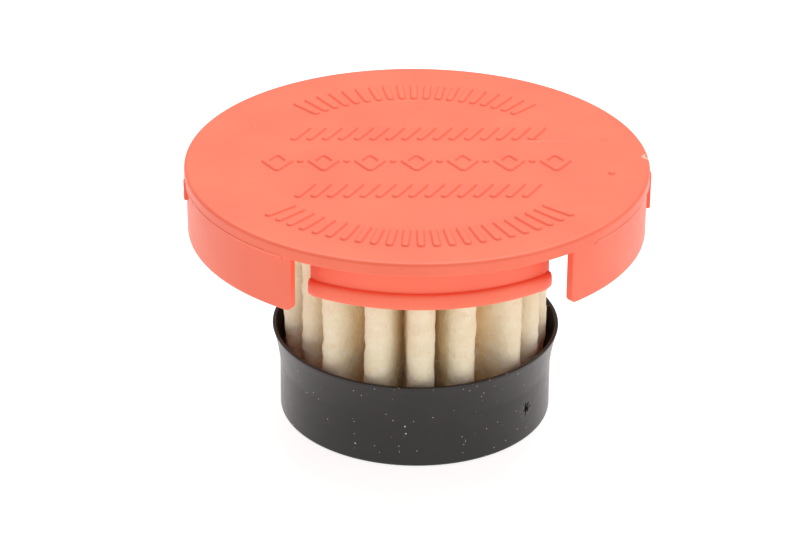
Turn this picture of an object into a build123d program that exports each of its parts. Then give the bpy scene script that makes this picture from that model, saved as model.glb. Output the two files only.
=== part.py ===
from build123d import *
import os
from math import cos, degrees, radians, sin, sqrt

# Snap-in breather for the filler neck of a hydraulic tank. Air enters under the cap, passes inwards
# through the pleated felt and leaves down through the hole in the end cup.
# Millimetres, +Z up, origin on the axis at the bottom of the end cup, front of the part towards -Y.

os.makedirs("parts", exist_ok=True)

# ---------------------------------------------------------------- driving dimensions
# over the low raised marks on the plate, which lies 0.25 lower between them
total_height = 36.75

# cap: plate with a rim band, a skirt in two arcs and two snap tabs, moulded in one
cap_radius = 31.0
band_height = 2.0
plate_thickness = 1.85
cap_edge_radius = 0.5
cap_edge_facets = 3
skirt_step = 0.3
skirt_wall = 1.2
skirt_depth = 7.55
skirt_corner_radius = 1.0
notch_half_angle = 36.2

tab_radius = 26.0
tab_wall = 1.3
tab_depth = 7.2
bead_height = 2.25
bead_reach = 0.6
tab_end_taper = 1.05
tab_end_inset = 0.35

# ridges left on the cap where the two mould slides meet, at the sides
ridge_proud = 0.25
ridge_width = 1.2
ridge_start = 1.15
right_ridge_drop = 4.2
left_ridge_drop = 2.1

# nick of the broken moulding gate in the cap's upper edge
gate_azimuth = 94.5
gate_width = 1.6
gate_depth = 0.6

# felt, folded into a star
felt_thickness = 1.5
outer_fold_bend = 0.3
inner_fold_bend = 0.1
first_fold_azimuth = -72.7
# angle from each outer fold to the next, as the felt was gathered, in turn from the first fold
fold_pitches = [
    29.6, 21.8, 18.6, 18.3, 21.9, 17.4, 15.0, 20.2, 18.6,
    21.0, 19.2, 20.8, 18.9, 20.4, 19.7, 21.2, 18.7, 18.7,
]

# end cup: trough for the felt's lower end, with a flared sealing lip
cup_radius = 18.5
cup_wall = 0.8
cup_height = 12.5
cup_floor = 1.2
cup_edge_chamfer = 0.4
flare_start = 7.0
lip_reach = 1.0
lip_thickness = 0.5
flare_bow = 0.12
air_hole_radius = 8.5
collar_wall = 0.9
collar_height = 4.5
cup_gate_azimuth = 52.9
cup_gate_height = 4.7
cup_gate_radius = 0.55

# trough under the plate that takes the felt's upper end
seat_depth = 3.0

# cured adhesive that the felt's ends stand in, at the bottom of both troughs
adhesive_thickness = 0.8

# clearance between the felt's folds and the trough walls outside and inside them
outer_fold_clearance = 0.2
inner_fold_clearance = 0.5

# ---------------------------------------------------------------- places worked out from them
plate_bottom = total_height - plate_thickness
band_bottom = total_height - band_height
skirt_radius = cap_radius - skirt_step
skirt_bottom = band_bottom - skirt_depth
skirt_arc = 180 - 2 * notch_half_angle
tab_bottom = band_bottom - tab_depth
tab_arc = 2 * notch_half_angle
bead_top = tab_bottom + bead_height

cup_inner_radius = cup_radius - cup_wall
lip_radius = cup_radius + lip_reach
collar_radius = air_hole_radius + collar_wall
flare_middle = (flare_start + cup_height) / 2

# the felt star fills the trough of the end cup, and the cap's trough has the same width
pleat_radius = cup_inner_radius - outer_fold_clearance
core_radius = collar_radius + inner_fold_clearance
felt_bottom = cup_floor + adhesive_thickness
felt_top = plate_bottom - adhesive_thickness


def on_circle(radius, azimuth):
    """Point at a radius and an azimuth, counted from the front towards +X."""
    return Vector(radius * sin(radians(azimuth)), -radius * cos(radians(azimuth)))


def upright(azimuth):
    """Upright plane through the axis, its X pointing outwards at an azimuth."""
    outwards = on_circle(1, azimuth)
    return Plane(origin=(0, 0, 0), x_dir=outwards, z_dir=outwards.cross(Vector(0, 0, 1)))


# ---------------------------------------------------------------- cap
def tab_outline(inset):
    """Draw the snap tab's section, its outer side set in by an amount and its top sunk into the plate."""
    outside = tab_radius - inset
    Polyline(
        (outside, bead_top),
        (outside, plate_bottom + plate_thickness / 2),
        (tab_radius - tab_wall, plate_bottom + plate_thickness / 2),
        (tab_radius - tab_wall, tab_bottom),
        (outside, tab_bottom),
    )
    ThreePointArc(
        (outside, tab_bottom),
        (outside + bead_reach, tab_bottom + bead_height / 2),
        (outside, bead_top),
    )


# snap tab, with a rounded bead along its lower edge, tapered towards both ends
with BuildPart() as snap_tab:
    straight_arc = tab_arc - 2 * degrees(tab_end_taper / tab_radius)
    with BuildSketch(upright(-straight_arc / 2)):
        with BuildLine():
            tab_outline(0)
        make_face()
    revolve(axis=Axis.Z, revolution_arc=straight_arc)
    for side in (-1, 1):
        for arc, inset in ((straight_arc, 0), (tab_arc, tab_end_inset)):
            with BuildSketch(upright(side * arc / 2)):
                with BuildLine():
                    tab_outline(inset)
                make_face()
        loft(ruled=True)

with BuildPart() as cap:
    # skirt, left and right of the two notches
    for side_azimuth in (90, -90):
        with BuildSketch(upright(side_azimuth - skirt_arc / 2)):
            with Locations((skirt_radius - skirt_wall, skirt_bottom)):
                Rectangle(skirt_wall, plate_bottom - skirt_bottom, align=Align.MIN)
        revolve(axis=Axis.Z, revolution_arc=skirt_arc)
    skirt_corners = cap.edges().filter_by(GeomType.LINE).filter_by(Plane.XY).group_by(Axis.Z)[0]
    fillet(skirt_corners, skirt_corner_radius)

    # plate and rim band, the upper edge rounded off in facets
    turns = [radians(90 * i / cap_edge_facets) for i in range(cap_edge_facets + 1)]
    rounded_edge = [
        (
            cap_radius - cap_edge_radius * (1 - sin(turn)),
            total_height - cap_edge_radius * (1 - cos(turn)),
        )
        for turn in turns
    ]
    with BuildSketch(Plane.XZ):
        with BuildLine():
            Polyline(
                (0, total_height),
                *rounded_edge,
                (cap_radius, band_bottom),
                (skirt_radius - skirt_wall, band_bottom),
                (skirt_radius - skirt_wall, plate_bottom),
                (0, plate_bottom),
                close=True,
            )
        make_face()
    revolve(axis=Axis.Z)

    # seat rings of the felt's upper trough
    with BuildSketch(Plane.XY.offset(plate_bottom)):
        Circle(cup_inner_radius + skirt_wall)
        Circle(cup_inner_radius, mode=Mode.SUBTRACT)
        Circle(collar_radius)
        Circle(collar_radius - skirt_wall, mode=Mode.SUBTRACT)
    extrude(amount=-seat_depth)

    # snap tabs in the notches, front and back
    with PolarLocations(0, 2):
        add(snap_tab.part)

    # slide ridges at the sides
    for side, drop in ((1, right_ridge_drop), (-1, left_ridge_drop)):
        ridge_top = total_height - ridge_start
        ridge_bottom = band_bottom - drop
        with Locations((side * (cap_radius + ridge_proud), 0, ridge_bottom)):
            Box(
                skirt_wall,
                ridge_width,
                ridge_top - ridge_bottom,
                align=(Align.MAX if side > 0 else Align.MIN, Align.CENTER, Align.MIN),
            )

    # gate nick
    gate_spot = on_circle(cap_radius, gate_azimuth)
    with Locations(Location((gate_spot.X, gate_spot.Y, total_height), (0, 0, gate_azimuth))):
        Box(gate_width, 2 * gate_depth, 2 * gate_depth, mode=Mode.SUBTRACT)

cap.part.label = "cap"
export_step(cap.part, "parts/cap.step")


# ---------------------------------------------------------------- filter_pleats
def crossing_tangent(start, start_bend, end, end_bend, side):
    """Ends of the straight felt leg that touches two fold circles and crosses between them."""
    along = (end - start).normalized()
    across = Vector(-along.Y, along.X) * side
    lean = (start_bend + end_bend) / (end - start).length
    touch = along * lean + across * sqrt(1 - lean**2)
    return start + touch * start_bend, end - touch * end_bend


def pleat_outline(outer_bend, inner_bend):
    """Draw one face of the felt as a closed line, with the given bend at its outer and inner folds.

    The felt is round on the outside of a fold and creased on the inside.
    """
    at_tip, at_root = (ThreePointArc, Polyline) if outer_bend > inner_bend else (Polyline, ThreePointArc)
    degrees_each = 360 / sum(fold_pitches)
    outer_azimuths = [first_fold_azimuth]
    for pitch in fold_pitches:
        outer_azimuths.append(outer_azimuths[-1] + pitch * degrees_each)
    inner_azimuths = [(a + b) / 2 for a, b in zip(outer_azimuths, outer_azimuths[1:])]
    outer_centre_radius = pleat_radius - felt_thickness - outer_fold_bend
    inner_centre_radius = core_radius + felt_thickness + inner_fold_bend
    leave_outer, reach_inner, leave_inner, reach_outer = [], [], [], []
    for here, middle, after in zip(outer_azimuths, inner_azimuths, outer_azimuths[1:]):
        outer = on_circle(outer_centre_radius, here)
        inner = on_circle(inner_centre_radius, middle)
        following = on_circle(outer_centre_radius, after)
        a, b = crossing_tangent(outer, outer_bend, inner, inner_bend, -1)
        c, d = crossing_tangent(inner, inner_bend, following, outer_bend, 1)
        leave_outer.append(a)
        reach_inner.append(b)
        leave_inner.append(c)
        reach_outer.append(d)
    for i, (here, middle) in enumerate(zip(outer_azimuths, inner_azimuths)):
        tip = on_circle(outer_centre_radius + outer_bend, here)
        root = on_circle(inner_centre_radius - inner_bend, middle)
        at_tip(reach_outer[i - 1], tip, leave_outer[i])
        Line(leave_outer[i], reach_inner[i])
        at_root(reach_inner[i], root, leave_inner[i])
        Line(leave_inner[i], reach_outer[i])


with BuildPart() as filter_pleats:
    with BuildSketch(Plane.XY.offset(felt_bottom)):
        with BuildLine():
            pleat_outline(outer_fold_bend + felt_thickness, inner_fold_bend)
        make_face()
        with BuildLine():
            pleat_outline(outer_fold_bend, inner_fold_bend + felt_thickness)
        make_face(mode=Mode.SUBTRACT)
    extrude(amount=felt_top - felt_bottom)

filter_pleats.part.label = "filter_pleats"
export_step(filter_pleats.part, "parts/filter_pleats.step")

# ---------------------------------------------------------------- end_cup
with BuildPart() as end_cup:
    with BuildSketch(Plane.XZ):
        with BuildLine():
            Polyline((cup_radius, flare_start), (cup_radius, 0), (air_hole_radius, 0))
            Polyline(
                (air_hole_radius, 0),
                (air_hole_radius, collar_height),
                (collar_radius, collar_height),
                (collar_radius, cup_floor),
                (cup_inner_radius, cup_floor),
                (cup_inner_radius, flare_start),
                ((cup_inner_radius + lip_radius - lip_thickness) / 2 - flare_bow, flare_middle),
                (lip_radius - lip_thickness, cup_height),
                (lip_radius, cup_height),
                ((cup_radius + lip_radius) / 2 - flare_bow, flare_middle),
                (cup_radius, flare_start),
            )
        make_face()
    revolve(axis=Axis.Z)
    base_edge = end_cup.edges().group_by(Axis.Z)[0].sort_by(SortBy.RADIUS)[-1]
    chamfer(base_edge, cup_edge_chamfer)

    # dimple of the moulding gate
    dimple = on_circle(cup_radius + cup_gate_radius / 2, cup_gate_azimuth)
    with Locations((dimple.X, dimple.Y, cup_gate_height)):
        Sphere(cup_gate_radius, mode=Mode.SUBTRACT)

end_cup.part.label = "end_cup"
export_step(end_cup.part, "parts/end_cup.step")

# ---------------------------------------------------------------- lower_potting
with BuildPart() as lower_potting:
    with BuildSketch(Plane.XY.offset(cup_floor)):
        Circle(cup_inner_radius)
        Circle(collar_radius, mode=Mode.SUBTRACT)
    extrude(amount=adhesive_thickness)

lower_potting.part.label = "lower_potting"
export_step(lower_potting.part, "parts/lower_potting.step")

# ---------------------------------------------------------------- upper_potting
with BuildPart() as upper_potting:
    with BuildSketch(Plane.XY.offset(plate_bottom)):
        Circle(cup_inner_radius)
        Circle(collar_radius, mode=Mode.SUBTRACT)
    extrude(amount=-adhesive_thickness)

upper_potting.part.label = "upper_potting"
export_step(upper_potting.part, "parts/upper_potting.step")
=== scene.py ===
import math
import random

import bmesh
import bpy
from mathutils import Matrix, Vector, noise


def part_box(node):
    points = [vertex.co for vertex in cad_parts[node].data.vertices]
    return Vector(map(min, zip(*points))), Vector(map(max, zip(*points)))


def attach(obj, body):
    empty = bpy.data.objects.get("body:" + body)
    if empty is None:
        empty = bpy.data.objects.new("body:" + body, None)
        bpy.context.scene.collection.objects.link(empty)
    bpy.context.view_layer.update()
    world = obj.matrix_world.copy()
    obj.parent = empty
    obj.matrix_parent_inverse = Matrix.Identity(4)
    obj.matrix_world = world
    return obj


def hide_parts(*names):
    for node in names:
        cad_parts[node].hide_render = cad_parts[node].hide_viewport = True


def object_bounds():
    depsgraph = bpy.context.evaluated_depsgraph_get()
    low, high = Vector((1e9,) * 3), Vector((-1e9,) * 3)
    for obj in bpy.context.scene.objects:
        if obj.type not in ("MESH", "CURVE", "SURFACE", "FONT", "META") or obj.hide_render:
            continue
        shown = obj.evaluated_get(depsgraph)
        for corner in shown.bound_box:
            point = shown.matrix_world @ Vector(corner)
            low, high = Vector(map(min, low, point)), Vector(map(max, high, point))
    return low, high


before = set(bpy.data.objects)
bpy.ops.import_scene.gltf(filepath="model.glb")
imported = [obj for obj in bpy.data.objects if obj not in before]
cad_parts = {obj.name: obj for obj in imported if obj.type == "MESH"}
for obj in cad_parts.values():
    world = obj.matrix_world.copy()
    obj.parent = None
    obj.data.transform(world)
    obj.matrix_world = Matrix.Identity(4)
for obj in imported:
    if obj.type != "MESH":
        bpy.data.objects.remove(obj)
cad_low, cad_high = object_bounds()

# ---------------------------------------------------------------- studio
# A white table under soft boxes: a large one overhead and behind, small ones in front and at the right.
# The camera looks down on the front of the breather, a little from the left.
mm = 0.001


def wall_of_light(name, place, size, power):
    """Rectangular soft box that faces the breather."""
    lamp = bpy.data.lights.new(name, "AREA")
    lamp.shape = "RECTANGLE"
    lamp.size, lamp.size_y = size
    lamp.energy = power
    box = bpy.data.objects.new(name, lamp)
    bpy.context.scene.collection.objects.link(box)
    box.location = place
    box.rotation_euler = (Vector((0, 0, 0.02)) - Vector(place)).to_track_quat("-Z", "Y").to_euler()


wall_of_light("overhead_softbox", (0.05, 0.3, 0.75), (0.9, 0.7), 7.1)
wall_of_light("front_softbox", (0.25, -0.85, 0.3), (0.7, 0.5), 0.95)
wall_of_light("right_softbox", (0.65, -0.1, 0.35), (0.5, 0.6), 0.35)

studio = bpy.data.worlds.new("studio")
studio.use_nodes = True
studio.node_tree.nodes["Background"].inputs["Color"].default_value = (1, 1, 1, 1)
studio.node_tree.nodes["Background"].inputs["Strength"].default_value = 0.43
bpy.context.scene.world = studio
bpy.context.scene.view_settings.view_transform = "Standard"

table_half = 3.0
# just under the cup's foot, so that the two faces don't coincide
table_level = -0.05 * mm
table_corners = [
    (-table_half, -table_half, table_level),
    (table_half, -table_half, table_level),
    (table_half, table_half, table_level),
    (-table_half, table_half, table_level),
]
table_mesh = bpy.data.meshes.new("table_top")
table_mesh.from_pydata(table_corners, [], [(0, 1, 2, 3)])
table_top = bpy.data.objects.new("table_top", table_mesh)
bpy.context.scene.collection.objects.link(table_top)
table_paint = bpy.data.materials.new("white_table")
table_paint.use_nodes = True
table_paint.node_tree.nodes["Principled BSDF"].inputs["Base Color"].default_value = (0.55, 0.55, 0.55, 1)
table_paint.node_tree.nodes["Principled BSDF"].inputs["Roughness"].default_value = 0.8
table_paint.node_tree.nodes["Principled BSDF"].inputs["Emission Color"].default_value = (1, 1, 1, 1)
table_paint.node_tree.nodes["Principled BSDF"].inputs["Emission Strength"].default_value = 0.8
table_mesh.materials.append(table_paint)

camera_distance = 0.434
camera_azimuth = math.radians(-5.07)
camera_height_angle = math.radians(29.26)
aim_aside = -0.0051
aim_up = 0.0422
camera_roll = math.radians(0.44)

lens = bpy.data.cameras.new("camera")
lens.sensor_width = 36
lens.lens = 141
camera = bpy.data.objects.new("camera", lens)
bpy.context.scene.collection.objects.link(camera)
backwards = Vector((
    math.sin(camera_azimuth) * math.cos(camera_height_angle),
    -math.cos(camera_azimuth) * math.cos(camera_height_angle),
    math.sin(camera_height_angle),
))
aside = Vector((0, 0, 1)).cross(backwards).normalized()
upwards = backwards.cross(aside)
backwards_seen = (backwards - aside * math.tan(aim_aside) - upwards * math.tan(aim_up)).normalized()
aside_seen = Vector((0, 0, 1)).cross(backwards_seen).normalized()
upwards_seen = backwards_seen.cross(aside_seen)
turn = Matrix.Rotation(camera_roll, 3, "Z")
axes = Matrix((aside_seen, upwards_seen, backwards_seen)).transposed() @ turn
camera.matrix_world = Matrix.Translation(backwards * camera_distance) @ axes.to_4x4()
bpy.context.scene.camera = camera

# ---------------------------------------------------------------- cap
# One moulding of coral-red polypropylene: a round plate with a rim band, a skirt in two arcs, two snap
# tabs with a bead, and seat rings under the plate that the felt is glued between.
total_height = cad_high.z / mm
cap_radius = 31.0
band_height = 2.0
plate_thickness = 1.85
edge_radius = 0.5
skirt_step = 0.3
skirt_wall = 1.2
skirt_bottom = 27.2
skirt_corner = 0.75
notch_half_angle = 36.2
notch_right = 35.5
tab_radius = 26.0
tab_wall = 1.3
tab_bottom = 27.55
bead_height = 2.25
bead_reach = 0.6
tab_end_taper = 1.05
tab_end_inset = 0.35
seat_depth = 3.0
seat_outside = 17.7
seat_inside = 9.4
raised = 0.25
plate_top = total_height - raised
plate_bottom = total_height - plate_thickness
band_bottom = total_height - band_height
arc_step = 2.0


class Wire:
    """A socket of a material's node tree. Sums, differences, products and powers of it add Math nodes."""

    def __init__(self, tree, socket=None):
        self.tree = tree
        self.socket = socket

    def node(self, kind, settings, sockets, out=0):
        """Add a node: its settings first, then the values or links of its sockets."""
        made = self.tree.nodes.new(kind)
        for name, value in settings.items():
            if name == "stops":
                for place, colour in value[1:-1]:
                    made.color_ramp.elements.new(place)
                for stop, (place, colour) in zip(made.color_ramp.elements, value):
                    stop.position = place
                    stop.color = (*colour, 1)
            else:
                setattr(made, name, value)
        for name, value in sockets.items():
            if isinstance(value, Wire):
                self.tree.links.new(value.socket, made.inputs[name])
            else:
                made.inputs[name].default_value = value
        return Wire(self.tree, made.outputs[out])

    def __add__(self, other):
        return self.node("ShaderNodeMath", {"operation": "ADD"}, {0: self, 1: other})

    def __radd__(self, other):
        return self + other

    def __sub__(self, other):
        return self.node("ShaderNodeMath", {"operation": "SUBTRACT"}, {0: self, 1: other})

    def __rsub__(self, other):
        return self.node("ShaderNodeMath", {"operation": "SUBTRACT"}, {0: other, 1: self})

    def __mul__(self, other):
        return self.node("ShaderNodeMath", {"operation": "MULTIPLY"}, {0: self, 1: other})

    def __rmul__(self, other):
        return self * other

    def __pow__(self, other):
        return self.node("ShaderNodeMath", {"operation": "POWER"}, {0: self, 1: other})


def between(value, low, high):
    """Smooth step of a wire, 0 below low and 1 above high."""
    steps = {"interpolation_type": "SMOOTHSTEP"}
    return value.node("ShaderNodeMapRange", steps, {"Value": value, "From Min": low, "From Max": high})


def mixed(factor, first, second):
    """Mix of two colours by a wire."""
    blend = {"data_type": "RGBA"}
    return factor.node("ShaderNodeMix", blend, {"Factor": factor, 6: first, 7: second}, out=2)


def grain(place, size, detail=2.0, rough=0.5, stretch=(1, 1, 1)):
    """Noise whose features are about size millimetres, drawn out along an axis by stretch."""
    scale = tuple(1 / (size * mm * s) for s in stretch)
    moved = place.node("ShaderNodeMapping", {}, {"Vector": place, "Scale": scale})
    sockets = {"Vector": moved, "Scale": 1.0, "Detail": detail, "Roughness": rough}
    return place.node("ShaderNodeTexNoise", {}, sockets)


def distance(place, point):
    """Distance of each place from a point."""
    return place.node("ShaderNodeVectorMath", {"operation": "DISTANCE"}, {0: place, 1: tuple(point)}, out=1)


def from_axis(place):
    """Distance of each place from the breather's axis."""
    flat = place.node("ShaderNodeVectorMath", {"operation": "MULTIPLY"}, {0: place, 1: (1, 1, 0)})
    return distance(flat, (0, 0, 0))


def dressed(name, constants):
    """New material: its Principled node, its object coordinates, and a function that feeds its sockets."""
    material = bpy.data.materials.new(name)
    material.use_nodes = True
    shader = material.node_tree.nodes["Principled BSDF"]
    for socket, value in constants.items():
        shader.inputs[socket].default_value = value
    place = Wire(material.node_tree).node("ShaderNodeTexCoord", {}, {}, out=3)

    def feed(socket, wire):
        material.node_tree.links.new(wire.socket, shader.inputs[socket])

    return material, place, feed


def on_circle(radius, azimuth, height):
    """Point in metres from millimetres, the azimuth in degrees from the front towards +X."""
    a = math.radians(azimuth)
    return Vector((radius * math.sin(a), -radius * math.cos(a), height)) * mm


def arc(centre, radius, first, last, count):
    """Points of an arc in a section, angles in degrees."""
    turns = [math.radians(first + (last - first) * i / count) for i in range(count + 1)]
    return [(centre[0] + radius * math.cos(t), centre[1] + radius * math.sin(t)) for t in turns]


def steps_between(first, last, step):
    """Evenly spaced azimuths from first to last."""
    count = max(1, round((last - first) / step))
    return [first + (last - first) * i / count for i in range(count + 1)]


def swept(name, azimuths, section, whole=False):
    """Object swept round the axis: section(azimuth) is its outline as radii and heights."""
    rings = [section(azimuth) for azimuth in azimuths]
    points = [on_circle(r, azimuth, z) for azimuth, ring in zip(azimuths, rings) for r, z in ring]
    size, count = len(rings[0]), len(azimuths)
    faces = []
    for i in range(count if whole else count - 1):
        for j in range(size):
            k, n = (i + 1) % count, (j + 1) % size
            faces.append((i * size + j, k * size + j, k * size + n, i * size + n))
    if not whole:
        faces += [tuple(range(size)), tuple(range((count - 1) * size, count * size))]
    mesh = bpy.data.meshes.new(name)
    mesh.from_pydata(points, [], faces)
    work = bmesh.new()
    work.from_mesh(mesh)
    bmesh.ops.remove_doubles(work, verts=work.verts, dist=0.001 * mm)
    bmesh.ops.recalc_face_normals(work, faces=work.faces)
    work.to_mesh(mesh)
    work.free()
    piece = bpy.data.objects.new(name, mesh)
    bpy.context.scene.collection.objects.link(piece)
    return piece


def fused(name, parts, cuts=()):
    """One object from overlapping closed ones, with the cuts taken out of it."""
    body = parts[0]
    for operation, tools in (("UNION", parts[1:]), ("DIFFERENCE", cuts)):
        for tool in tools:
            step = body.modifiers.new(tool.name, "BOOLEAN")
            step.operation = operation
            step.solver = "MANIFOLD"
            step.object = tool
    shape = bpy.data.meshes.new_from_object(body.evaluated_get(bpy.context.evaluated_depsgraph_get()))
    tidy = bmesh.new()
    tidy.from_mesh(shape)
    bmesh.ops.dissolve_degenerate(tidy, edges=tidy.edges, dist=0.002 * mm)
    tidy.to_mesh(shape)
    tidy.free()
    for used in (*parts, *cuts):
        bpy.data.objects.remove(used)
    whole = bpy.data.objects.new(name, shape)
    shape.name = name
    bpy.context.scene.collection.objects.link(whole)
    return whole


def shaded(piece, material, sharp=35):
    """Smooth shading with crisp edges, flat faces kept flat."""
    piece.data.materials.clear()
    piece.data.materials.append(material)
    piece.data.set_sharp_from_angle(angle=math.radians(sharp))
    for face in piece.data.polygons:
        face.use_smooth = abs(face.normal.z) < 0.9999
    weights = piece.modifiers.new("flat_faces", "WEIGHTED_NORMAL")
    weights.keep_sharp = True


rim_round = 0.12
plate_section = [
    *((radius, plate_top) for radius in range(0, 30, 3)),
    *arc((cap_radius - edge_radius, plate_top - edge_radius), edge_radius, 90, 0, 8),
    *arc((cap_radius - rim_round, band_bottom + rim_round), rim_round, 0, -90, 3),
    (cap_radius - skirt_step - skirt_wall / 2, band_bottom),
    (cap_radius - skirt_step - skirt_wall / 2, plate_bottom),
    (0, plate_bottom),
]
plate = swept("plate", steps_between(0, 360, arc_step)[:-1], lambda azimuth: plate_section, whole=True)

skirt_outside = cap_radius - skirt_step
skirt_inside = skirt_outside - skirt_wall
end_round = 0.18
skirts = []


def skirt_section(from_end):
    """Skirt's section at a distance from its end: rounded lower corners, all edges broken slightly."""
    lift = skirt_corner - math.sqrt(skirt_corner**2 - max(0, skirt_corner - from_end) ** 2)
    thin = end_round - math.sqrt(end_round**2 - max(0, end_round - from_end) ** 2)
    foot = skirt_bottom + lift
    out, back = skirt_outside - thin, skirt_inside + thin
    return [
        (out, plate_bottom + 0.5),
        *arc((out - end_round, foot + end_round), end_round, 0, -90, 4),
        *arc((back + end_round, foot + end_round), end_round, -90, -180, 4),
        (back, plate_bottom + 0.5),
    ]


for first, last in ((notch_right, 180 - notch_half_angle), (180 + notch_half_angle, 360 - notch_half_angle)):
    near = [math.degrees(d / skirt_outside) for d in (0, 0.02, 0.06, 0.12, 0.18, 0.3, 0.45, 0.6, 0.8)]
    azimuths = [first + e for e in near[:-1]] + steps_between(first + near[-1], last - near[-1], arc_step)
    azimuths += [last - e for e in near[-2::-1]]

    def skirt_at(azimuth):
        """Skirt's section at an azimuth, by its distance from the nearer end."""
        return skirt_section(max(0, math.radians(min(azimuth - first, last - azimuth)) * skirt_outside))

    skirts.append(swept("skirt", azimuths, skirt_at))

seats = []
for outside in (seat_outside + skirt_wall, seat_inside):
    seat_section = [
        (outside, plate_bottom + 0.5),
        (outside, plate_bottom - seat_depth),
        (outside - skirt_wall, plate_bottom - seat_depth),
        (outside - skirt_wall, plate_bottom + 0.5),
    ]
    azimuths = steps_between(0, 360, 3)[:-1]
    seats.append(swept(f"seat_{outside}", azimuths, lambda azimuth: seat_section, whole=True))


tab_half_angle = 36.8


def tab_section(azimuth_from_middle):
    """Snap tab's section, its outer side set in towards the two ends."""
    inward = math.radians(tab_half_angle - abs(azimuth_from_middle)) * tab_radius
    inset = tab_end_inset * max(0, 1 - inward / tab_end_taper)
    out = tab_radius - inset
    bead = []
    for k in range(15):
        across = math.cos(math.pi * k / 14)
        reach = bead_reach * (1 - abs(across) ** 2.8) ** (1 / 2.8)
        bead.append((out + reach, tab_bottom + bead_height * (1 + across) / 2))
    return [
        (out, plate_bottom + 0.5),
        *bead,
        (tab_radius - tab_wall, tab_bottom),
        (tab_radius - tab_wall, plate_bottom + 0.5),
    ]


taper_start = tab_half_angle - math.degrees(tab_end_taper / tab_radius)
tab_azimuths = [-tab_half_angle] + steps_between(-taper_start, taper_start, arc_step) + [tab_half_angle]
tabs = []
for side in (0, 180):
    azimuths = [side + a for a in tab_azimuths]
    tabs.append(swept(f"tab_{side}", azimuths, lambda azimuth: tab_section(azimuth - side)))

# ridges where the mould's slides meet, and a ragged fin of flash along the band's lower edge
ridge_proud = 0.25
ridge_half_angle = math.degrees(0.6 / cap_radius)
ridges = []
for side, ridge_head, drop in ((82.5, 35.6, 4.2), (273.5, 35.3, 2.1)):
    ridge_foot = band_bottom - drop

    def ridge_section(azimuth):
        """Ridge's section, ragged along its crown and rounded at its head and foot."""
        proud = ridge_proud - 0.06 * (1 + noise.noise(Vector((azimuth * 4, side, 0))))
        out = cap_radius + proud
        return [
            (cap_radius - 0.8, ridge_head),
            (out - 0.12, ridge_head - 0.02),
            (out, ridge_head - 0.25),
            (out - 0.03, (ridge_head + ridge_foot) / 2),
            (out, ridge_foot + 0.2),
            (out - 0.15, ridge_foot),
            (cap_radius - 0.8, ridge_foot),
        ]

    azimuths = steps_between(side - ridge_half_angle, side + ridge_half_angle, 0.25)
    ridges.append(swept("ridge", azimuths, ridge_section))


def flash_section(azimuth):
    """Section of the flash, whose reach dies away towards its ends."""
    ends = math.sin(math.radians((azimuth - flash_start) / (flash_end - flash_start) * 180))
    coarse = 0.5 * noise.noise(Vector((azimuth * 0.9, 3, 0)))
    fine_tear = 0.3 * noise.noise(Vector((azimuth * 4, 8, 0)))
    torn = 0.5 + coarse + fine_tear
    proud = 0.15 * max(0, ends) ** 0.3 * max(0.1, torn)
    return [
        (cap_radius - 0.2, band_bottom + 0.45),
        (cap_radius + 0.02, band_bottom + 0.25),
        (cap_radius + proud, band_bottom + 0.08),
        (cap_radius + proud, band_bottom + 0.03),
        (cap_radius - 0.02, band_bottom - 0.1),
        (skirt_outside - 0.05, band_bottom - 0.4),
    ]


fins = []
for flash_start, flash_end in ((-84, -38.5), (43, 66)):
    fins.append(swept("flash", steps_between(flash_start, flash_end, 0.4), flash_section))

# The low raised marks: a row of lozenge outlines with studs between two rows of slanted bars, and radial
# ribs in two arcs along the rim. They stand on the plate with drafted sides.
marks_turn = math.radians(-3.7)
mark_points, mark_faces = [], []


def bar_outline(length, width):
    """Outline of a bar with round ends that lies along Y."""
    half = length / 2 - width / 2
    turns = [math.pi * i / 8 for i in range(9)]
    top = [(width / 2 * math.cos(t), half + width / 2 * math.sin(t)) for t in turns]
    return top + [(-x, -y) for x, y in top]


def lozenge_outline(half_width, half_height, corner):
    """Outline of a lozenge with rounded corners."""
    side = math.hypot(half_width, half_height)
    lean = math.degrees(math.atan2(half_width, half_height))
    right = (half_width - corner * side / half_height, 0)
    top = (0, half_height - corner * side / half_width)
    half = arc(right, corner, -lean, lean, 5) + arc(top, corner, lean, 180 - lean, 5)
    return half + [(-x, -y) for x, y in half]


def grown(outline, by):
    """Outline with every side moved outwards."""
    moved = []
    for before, (x, y), after in zip(outline[-1:] + outline[:-1], outline, outline[1:] + outline[:1]):
        along = Vector((after[0] - before[0], after[1] - before[1])).normalized()
        moved.append((x + along.y * by, y - along.x * by))
    return moved


def raised_mark(outline, x, y, turn=0.0, hole=None, height=raised, all_turned=marks_turn):
    """Add a raised mark to the list, at a place on the plate and turned about it."""
    levels = ((-0.2, 0.17), (0.0, 0.15), (0.4 * height, 0.06), (0.8 * height, -0.02), (height, -0.12))
    loops = [outline] if hole is None else [outline, hole]
    start, size = len(mark_points), len(outline)
    for shape, sign in zip(loops, (1, -1)):
        for up, grow in levels:
            for px, py in grown(shape, sign * grow):
                at = Vector((px, py))
                at.rotate(Matrix.Rotation(turn, 2))
                at = Vector((x, y)) + at
                at.rotate(Matrix.Rotation(all_turned, 2))
                mark_points.append(Vector((at.x, at.y, plate_top + up)) * mm)
    for loop in range(len(loops)):
        for level in range(len(levels) - 1):
            a = start + (loop * len(levels) + level) * size
            for i in range(size):
                k = (i + 1) % size
                mark_faces.append((a + i, a + k, a + size + k, a + size + i))
    for level in (0, len(levels) - 1):
        a = start + level * size
        if hole is None:
            mark_faces.append(tuple(range(a, a + size)))
            continue
        b = a + len(levels) * size
        for i in range(size):
            k = (i + 1) % size
            mark_faces.append((a + i, a + k, b + k, b + i))


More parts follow.
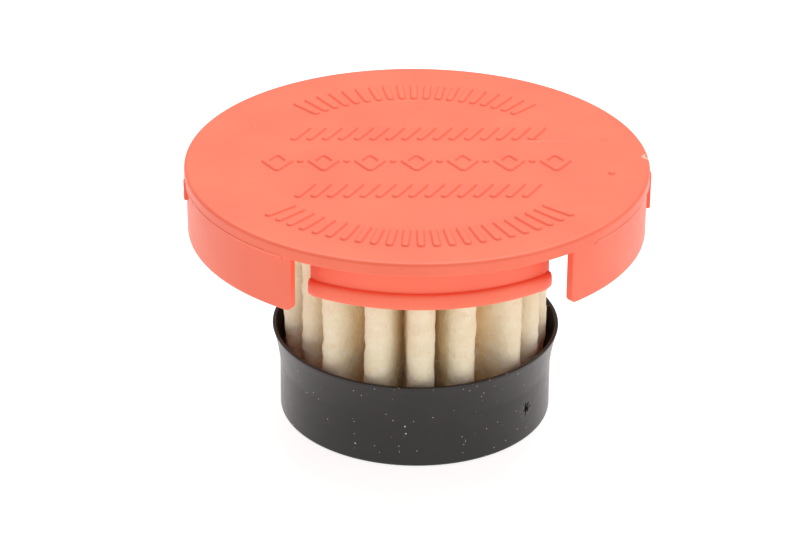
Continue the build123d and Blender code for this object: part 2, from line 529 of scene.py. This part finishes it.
bar_pitch = 2.1
bar_slant = math.radians(-28)
for row_y, first, last in ((8.3, -15.6, 16.4), (-9.6, -14.8, 14.8)):
    for x in steps_between(first, last, bar_pitch):
        raised_mark(bar_outline(4.6, 0.8), x, row_y, bar_slant)
lozenge_pitch = 6.2
lozenge_y = -0.6
for i, x in enumerate(steps_between(-18.6, 18.4, lozenge_pitch)):
    raised_mark(lozenge_outline(2.1, 3.3, 0.45), x, lozenge_y, hole=lozenge_outline(1.15, 1.81, 0.3))
    if i:
        raised_mark(bar_outline(0.75, 0.7), x - lozenge_pitch / 2, lozenge_y)
for middle_azimuth, span, radius, count in ((180, 84, 22.3, 19), (0, 98, 23.7, 23)):
    for azimuth in steps_between(middle_azimuth - span / 2, middle_azimuth + span / 2, span / (count - 1)):
        foot = on_circle(radius, azimuth, 0) / mm
        raised_mark(bar_outline(4.8, 0.85), foot.x, foot.y, math.radians(azimuth))
# pimples, and a fine witness line of the mould's insert
pimples = ((25.7, 4.7, 0.5, 0.15), (25.3, -5.9, 0.7, 0.24), (-21.2, 12.0, 0.45, 0.1), (-19.6, -2.2, 0.4, 0.1))
for x, y, size, tall in pimples:
    raised_mark(bar_outline(size * 1.2, size), x, y, height=tall, all_turned=0)
raised_mark(bar_outline(6.5, 0.22), 18.0, 4.9, math.radians(87), height=0.05, all_turned=0)

marks_mesh = bpy.data.meshes.new("raised_marks")
marks_mesh.from_pydata(mark_points, [], mark_faces)
marks_work = bmesh.new()
marks_work.from_mesh(marks_mesh)
bmesh.ops.recalc_face_normals(marks_work, faces=marks_work.faces)
marks_work.to_mesh(marks_mesh)
marks_work.free()
marks = bpy.data.objects.new("raised_marks", marks_mesh)
bpy.context.scene.collection.objects.link(marks)

# nick that the broken gate left in the upper edge: a rough gouge
gate_azimuth = 88.0


def gouge(name, centre, size, turn, roughness, seed):
    """Closed lumpy body to cut with, its size given along, across and up."""
    mesh = bpy.data.meshes.new(name)
    work = bmesh.new()
    bmesh.ops.create_icosphere(work, subdivisions=4, radius=1)
    for vertex in work.verts:
        lump = 1 + roughness * noise.noise(vertex.co * 2.3 + Vector((seed, 0, 0)))
        lump += 0.5 * roughness * noise.noise(vertex.co * 6 + Vector((0, seed, 0)))
        vertex.co = Vector([c * s * lump * mm for c, s in zip(vertex.co, size)])
        vertex.co = centre + Matrix.Rotation(turn, 3, "Z") @ vertex.co
    work.to_mesh(mesh)
    work.free()
    body = bpy.data.objects.new(name, mesh)
    bpy.context.scene.collection.objects.link(body)
    return body


gate_spot = on_circle(cap_radius - 0.1, gate_azimuth, plate_top)
gate_nick = gouge("gate_nick", gate_spot, (0.8, 0.42, 0.4), math.radians(gate_azimuth), 0.45, 5)
cap = fused("breather_cap", [plate, *skirts, *seats, *tabs, *ridges, *fins, marks], [gate_nick])

cap_plastic, spot, feed = dressed("coral_plastic", {"Roughness": 0.42, "Specular IOR Level": 0.45})
cloud = grain(spot, 9, detail=3)
coral = mixed(between(cloud, 0.35, 0.7), (0.93, 0.165, 0.085, 1), (0.90, 0.15, 0.078, 1))
# painted highlight: where the flash fin and the mould ridges stand proud of the band, the coral turns paler,
# standing in for light caught by and shining through the thin plastic
proud_edge_highlight = between(from_axis(spot), (cap_radius + 0.02) * mm, (cap_radius + 0.16) * mm)
torn = 1 - between(distance(spot, gate_spot), 0.55 * mm, 1.0 * mm)
coral = mixed(proud_edge_highlight, coral, (0.95, 0.25, 0.17, 1))
feed("Base Color", mixed(torn, coral, (0.97, 0.52, 0.40, 1)))
fine = grain(spot, 0.35, detail=3)
feed("Roughness", 0.38 + 0.14 * grain(spot, 1.5, detail=4))
feed("Normal", spot.node("ShaderNodeBump", {}, {"Strength": 0.08, "Distance": 0.05 * mm, "Height": fine}))
shaded(cap, cap_plastic)
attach(cap, "root")
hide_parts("cap")

# ---------------------------------------------------------------- felt
# One strip of needled wool-and-polyester felt, 1.5 mm thick, gathered by hand into a star of 18 folds
# and closed into a ring. It is glued in between the seats of the cap and of the end cup.
felt_low, felt_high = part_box("filter_pleats")
felt_bottom = felt_low.z / mm
felt_top = felt_high.z / mm
felt_thickness = 1.5
pleat_radius = 17.5
core_radius = 9.9
outer_bend = 0.3
inner_bend = 0.1
first_fold = -88.0
fold_pitches = [
    19.0, 23.0, 23.2, 20.6, 19.5, 27.3, 17.8, 19.6, 19.4,
    18.6, 19.3, 18.4, 19.6, 18.7, 19.2, 18.5, 19.4, 18.9,
]
# how far some folds fall short of the others
fold_shortfalls = {1: 1.1, 7: 0.2, 11: 0.3, 15: 0.2}
felt_step = 0.5


def height_of(place):
    """Height of each place."""
    return place.node("ShaderNodeSeparateXYZ", {}, {0: place}, out=2)


def flat_point(radius, azimuth):
    """Point of a plan in millimetres."""
    a = math.radians(azimuth)
    return Vector((radius * math.sin(a), -radius * math.cos(a)))


def felt_middle_line():
    """Middle line of the folded felt as closely spaced points, closed."""
    outer_middle = outer_bend + felt_thickness / 2
    inner_middle = inner_bend + felt_thickness / 2
    outer_azimuths = [first_fold]
    for pitch in fold_pitches:
        outer_azimuths.append(outer_azimuths[-1] + pitch * 360 / sum(fold_pitches))
    circles = []
    for i, (here, after) in enumerate(zip(outer_azimuths, outer_azimuths[1:])):
        outer_radius = pleat_radius - felt_thickness - outer_bend - fold_shortfalls.get(i, 0)
        circles.append((flat_point(outer_radius, here), outer_middle, -1))
        inner_centre = flat_point(core_radius + felt_thickness + inner_bend, (here + after) / 2)
        circles.append((inner_centre, inner_middle, 1))
    touches = []
    for (start, start_bend, side), (end, end_bend, _) in zip(circles, circles[1:] + circles[:1]):
        along = (end - start).normalized()
        across = Vector((-along.y, along.x)) * side
        lean = (start_bend + end_bend) / (end - start).length
        touch = along * lean + across * math.sqrt(1 - lean**2)
        touches.append((start + touch * start_bend, end - touch * end_bend))
    line = []
    for i, (centre, bend, side) in enumerate(circles):
        tip = math.atan2(-side * centre.y, -side * centre.x)
        ends = []
        for point in (touches[i - 1][1], touches[i][0]):
            turn = math.atan2(point.y - centre.y, point.x - centre.x) - tip
            ends.append((turn + math.pi) % (2 * math.pi) - math.pi)
        for k in range(9):
            turn = tip + ends[0] + (ends[1] - ends[0]) * k / 8
            line.append(centre + Vector((math.cos(turn), math.sin(turn))) * bend)
    return line


def evenly(line, step):
    """Closed line with evenly spaced points."""
    lengths = [0.0]
    closed = line + line[:1]
    for a, b in zip(closed, closed[1:]):
        lengths.append(lengths[-1] + (b - a).length)
    count = round(lengths[-1] / step)
    spaced, j = [], 0
    for i in range(count):
        goal = lengths[-1] * i / count
        while lengths[j + 1] < goal:
            j += 1
        share = (goal - lengths[j]) / (lengths[j + 1] - lengths[j])
        spaced.append(closed[j].lerp(closed[j + 1], share))
    return spaced, lengths[-1]


def ease(t):
    """Smooth step of a number, from 0 to 1."""
    t = min(1, max(0, t))
    return t * t * (3 - 2 * t)


# the folds swell between the cap's seat and the cup's straight wall
fold_swell = 0.42
middle, strip_length = evenly(felt_middle_line(), felt_step)
rows = round((felt_top - felt_bottom) / felt_step)
felt_points, felt_faces = [], []
count = len(middle)
for row in range(rows + 1):
    z = felt_bottom + (felt_top - felt_bottom) * row / rows
    swell = fold_swell * ease((z - 7.5) / 4.5) * ease((31.5 - z) / 3)
    for face in (1, -1):
        for i, here in enumerate(middle):
            along = (middle[(i + 1) % count] - middle[i - 1]).normalized()
            outward = Vector((along.y, -along.x)) * face
            in_felt = Vector((here.x, here.y, z))
            sway = noise.noise(Vector((here.x * 0.25, here.y * 0.25, z * 0.09))) * 0.30
            lumps = noise.noise(in_felt * 0.7 + Vector((face * 7, 0, 0))) * 0.17
            fuzz = noise.noise(in_felt * 2.3 + Vector((0, face * 9, 0))) * 0.08
            offset = outward * (felt_thickness / 2 + lumps + fuzz) + Vector((along.y, -along.x)) * sway
            how_far_out = (here.length - core_radius) / (pleat_radius - core_radius)
            offset += here.normalized() * swell * ease(how_far_out)
            felt_points.append(Vector((here.x + offset.x, here.y + offset.y, z)) * mm)
for row in range(rows):
    for face in (0, 1):
        for i in range(count):
            a = (row * 2 + face) * count
            b = a + 2 * count
            k = (i + 1) % count
            quad = (a + i, a + k, b + k, b + i)
            felt_faces.append(quad if face == 0 else quad[::-1])
for row in (0, rows):
    a = row * 2 * count
    for i in range(count):
        k = (i + 1) % count
        quad = (a + i, a + count + i, a + count + k, a + k)
        felt_faces.append(quad if row == 0 else quad[::-1])
felt_mesh = bpy.data.meshes.new("felt_star")
felt_mesh.from_pydata(felt_points, [], felt_faces)
felt = bpy.data.objects.new("felt_star", felt_mesh)
bpy.context.scene.collection.objects.link(felt)
felt_work = bmesh.new()
felt_work.from_mesh(felt_mesh)
bmesh.ops.recalc_face_normals(felt_work, faces=felt_work.faces)
felt_work.to_mesh(felt_mesh)
felt_work.free()

felt_finish = {"Roughness": 0.95, "Sheen Weight": 0.2, "Specular IOR Level": 0.2}
felt_cloth, spot, feed = dressed("cream_felt", felt_finish)
patch = grain(spot, 3.5, detail=4, rough=0.6)
lengthwise = grain(spot, 0.10, detail=3, rough=0.6, stretch=(1.5, 1.5, 9))
crosswise = grain(spot, 0.10, detail=3, rough=0.6, stretch=(7, 7, 1.2))
fibres = 0.5 * lengthwise + 0.5 * crosswise
tips = mixed(between(patch, 0.35, 0.7), (0.90, 0.825, 0.59, 1), (0.86, 0.77, 0.52, 1))
# painted shade: deep in the folds, towards the axis, the felt turns a darker, warmer brown, standing in for
# the shade and bounced light between the folds
shaded_depths = mixed(between(patch, 0.3, 0.7), (0.90, 0.66, 0.31, 1), (0.84, 0.60, 0.27, 1))
depth_shade = 1 - between(from_axis(spot), 11.5 * mm, 16.8 * mm)
body = mixed(depth_shade, tips, shaded_depths)
near_lip = 1 - between(height_of(spot), 11.5 * mm, 16.0 * mm)
rubbed = between(grain(spot, 1.1, detail=5, rough=0.75), 0.5, 0.6)
body = mixed(0.85 * near_lip * rubbed, body, (0.95, 0.92, 0.83, 1))
stained = between(grain(spot, 2.2, detail=4, rough=0.7), 0.55, 0.68)
body = mixed(0.45 * stained, body, (0.80, 0.62, 0.36, 1))
feed("Base Color", mixed(0.8 * between(fibres, 0.50, 0.66), body, (0.93, 0.88, 0.76, 1)))
felt_height = grain(spot, 0.6, detail=4, rough=0.6) + 0.8 * fibres
nap = {"Strength": 0.8, "Distance": 0.2 * mm, "Height": felt_height}
feed("Normal", spot.node("ShaderNodeBump", {}, nap))
felt.data.materials.append(felt_cloth)
felt.data.shade_smooth()
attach(felt, "root")
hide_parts("filter_pleats")
strip_length * mm

# ---------------------------------------------------------------- stray fibres
# Loose ends that stand off the felt, most of them on the outer folds close above the cup's lip, where the
# felt was rubbed as it was pushed in.
fibre_count = 420
draw = random.Random(11)
hairs = bpy.data.curves.new("stray_fibres", "CURVE")
hairs.dimensions = "3D"
hairs.bevel_depth = 0.014 * mm
hairs.bevel_resolution = 0
hairs.use_fill_caps = True
while len(hairs.splines) < fibre_count:
    i = draw.randrange(count)
    here = middle[i]
    if here.length < 15.6 and draw.random() < 0.85:
        continue
    along = (middle[(i + 1) % count] - middle[i - 1]).normalized()
    off = Vector((along.y, -along.x))
    if off.dot(here) < 0:
        off = -off
    z = draw.uniform(12.6, 15.5) if draw.random() < 0.6 else draw.uniform(12.6, 30)
    point = Vector((here.x + off.x * 0.72, here.y + off.y * 0.72, z))
    lie = Vector((off.x * 0.5 + along.x * draw.uniform(-1, 1), off.y * 0.5 + along.y * draw.uniform(-1, 1),
                  draw.uniform(-0.9, 1.1))).normalized()
    length = draw.uniform(0.3, 1.1)
    curl = Vector((draw.uniform(-1, 1), draw.uniform(-1, 1), draw.uniform(-1, 1)))
    hair = hairs.splines.new("POLY")
    hair.points.add(5)
    for k, end in enumerate(hair.points):
        t = k / 5
        end.co = (*((point + lie * length * t + curl * 0.3 * length * t * t) * mm), 1)
        end.radius = 1 - 0.5 * t
hair_object = bpy.data.objects.new("hair_curves", hairs)
bpy.context.scene.collection.objects.link(hair_object)
hair_mesh = bpy.data.meshes.new_from_object(hair_object)
bpy.data.objects.remove(hair_object)
stray = bpy.data.objects.new("stray_fibres", hair_mesh)
bpy.context.scene.collection.objects.link(stray)
hair_mesh.materials.clear()
fibre_lint, spot, feed = dressed("fibre_lint", {"Roughness": 0.8})
feed("Base Color", mixed(grain(spot, 1), (0.93, 0.88, 0.76, 1), (0.84, 0.76, 0.58, 1)))
hair_mesh.materials.append(fibre_lint)
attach(stray, "root")

# ---------------------------------------------------------------- end cup
# One moulding of soft black plastic: a shallow trough for the felt's lower end, with a flared sealing lip
# drawn out thin, and a collar round the air hole in its middle.
cup_radius = 18.5
cup_wall = 0.8
cup_height = 12.5
cup_floor = 1.2
base_round = 0.4
flare_start = 7.0
lip_reach = 1.0
lip_thickness = 0.5
lip_round = 0.12
flare_bow = 0.12
air_hole_radius = 8.5
collar_wall = 0.9
collar_height = 4.5
lip_radius = cup_radius + lip_reach


def flare(from_radius, to_radius, bow, count=8):
    """Points of the flared wall between the straight part and the lip."""
    points = []
    for i in range(count + 1):
        t = i / count
        radius = from_radius + (to_radius - from_radius) * t - 4 * bow * t * (1 - t)
        points.append((radius, flare_start + (cup_height - flare_start) * t))
    return points


cup_section = [
    (air_hole_radius, 0),
    *arc((cup_radius - base_round, base_round), base_round, -90, 0, 5),
    *flare(cup_radius, lip_radius, flare_bow)[:-1],
    *arc((lip_radius - lip_round, cup_height - lip_round), lip_round, 0, 90, 3),
    *arc((lip_radius - lip_thickness + lip_round, cup_height - lip_round), lip_round, 90, 180, 3),
    *flare(cup_radius - cup_wall, lip_radius - lip_thickness, flare_bow)[-2::-1],
    (cup_radius - cup_wall, cup_floor),
    (air_hole_radius + collar_wall, cup_floor),
    (air_hole_radius + collar_wall, collar_height),
    (air_hole_radius, collar_height),
]
wall = swept("cup_wall", steps_between(0, 360, arc_step)[:-1], lambda azimuth: cup_section, whole=True)

# torn crater of the cup's gate
crater_azimuth = 49.3
crater_height = 4.75
crater_spot = on_circle(cup_radius + 0.08, crater_azimuth, crater_height)
crater = gouge("crater", crater_spot, (0.72, 0.5, 0.8), math.radians(crater_azimuth), 0.8, 3)
cup = fused("felt_cup", [wall], [crater])

cup_plastic, spot, feed = dressed("black_plastic", {"Specular IOR Level": 0.48})
smear = grain(spot, 4, detail=4, rough=0.6)
black = mixed(between(smear, 0.35, 0.7), (0.007, 0.0064, 0.0055, 1), (0.010, 0.009, 0.008, 1))
round_crater = 1 - between(distance(spot, crater_spot), 0.7 * mm, 2.0 * mm)
scuffed = round_crater * between(grain(spot, 0.35, detail=4, rough=0.7), 0.45, 0.6)
black = mixed(0.35 * scuffed, black, (0.30, 0.29, 0.28, 1))


def flecks(place, cell, size, share, stretch=(1, 1, 1)):
    """Sparse round or drawn-out flecks on a surface, as a mask: the share is of the cells that hold one."""
    scale = tuple(1 / (cell * mm * s) for s in stretch)
    moved = place.node("ShaderNodeMapping", {}, {"Vector": place, "Scale": scale})
    near = place.node("ShaderNodeTexVoronoi", {}, {"Vector": moved, "Scale": 1.0})
    drawn = place.node("ShaderNodeTexVoronoi", {}, {"Vector": moved, "Scale": 1.0}, out=1)
    lot = place.node("ShaderNodeSeparateColor", {}, {0: drawn}, out=0)
    return (1 - between(near, size / cell * 0.6, size / cell)) * between(lot, 1 - share - 0.01, 1 - share)


specks = flecks(spot, 0.85, 0.09, 0.5)
black = mixed(0.8 * specks, black, (0.62, 0.52, 0.36, 1))
bits = flecks(spot, 1.3, 0.12, 0.22)
black = mixed(0.9 * bits, black, (0.75, 0.74, 0.72, 1))
scratches = flecks(spot, 1.1, 0.08, 0.3, stretch=(1, 1, 4)) * between(grain(spot, 5), 0.42, 0.6)
feed("Base Color", mixed(0.5 * scratches, black, (0.40, 0.39, 0.37, 1)))
feed("Roughness", 0.24 + 0.14 * grain(spot, 1.2, detail=3) + 0.35 * scuffed)
shaded(cup, cup_plastic)
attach(cup, "root")
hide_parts("end_cup")

# ---------------------------------------------------------------- potting
# Two rings of cured amber adhesive that bond the ends of the felt into the end cup and into the cap.
adhesive, spot, feed = dressed("amber_adhesive", {"Roughness": 0.35, "Coat Weight": 0.3})
feed("Base Color", mixed(grain(spot, 2, detail=3), (0.42, 0.26, 0.10, 1), (0.55, 0.38, 0.18, 1)))
for name in ("lower_potting", "upper_potting"):
    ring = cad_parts[name]
    ring.data.materials.clear()
    ring.data.materials.append(adhesive)
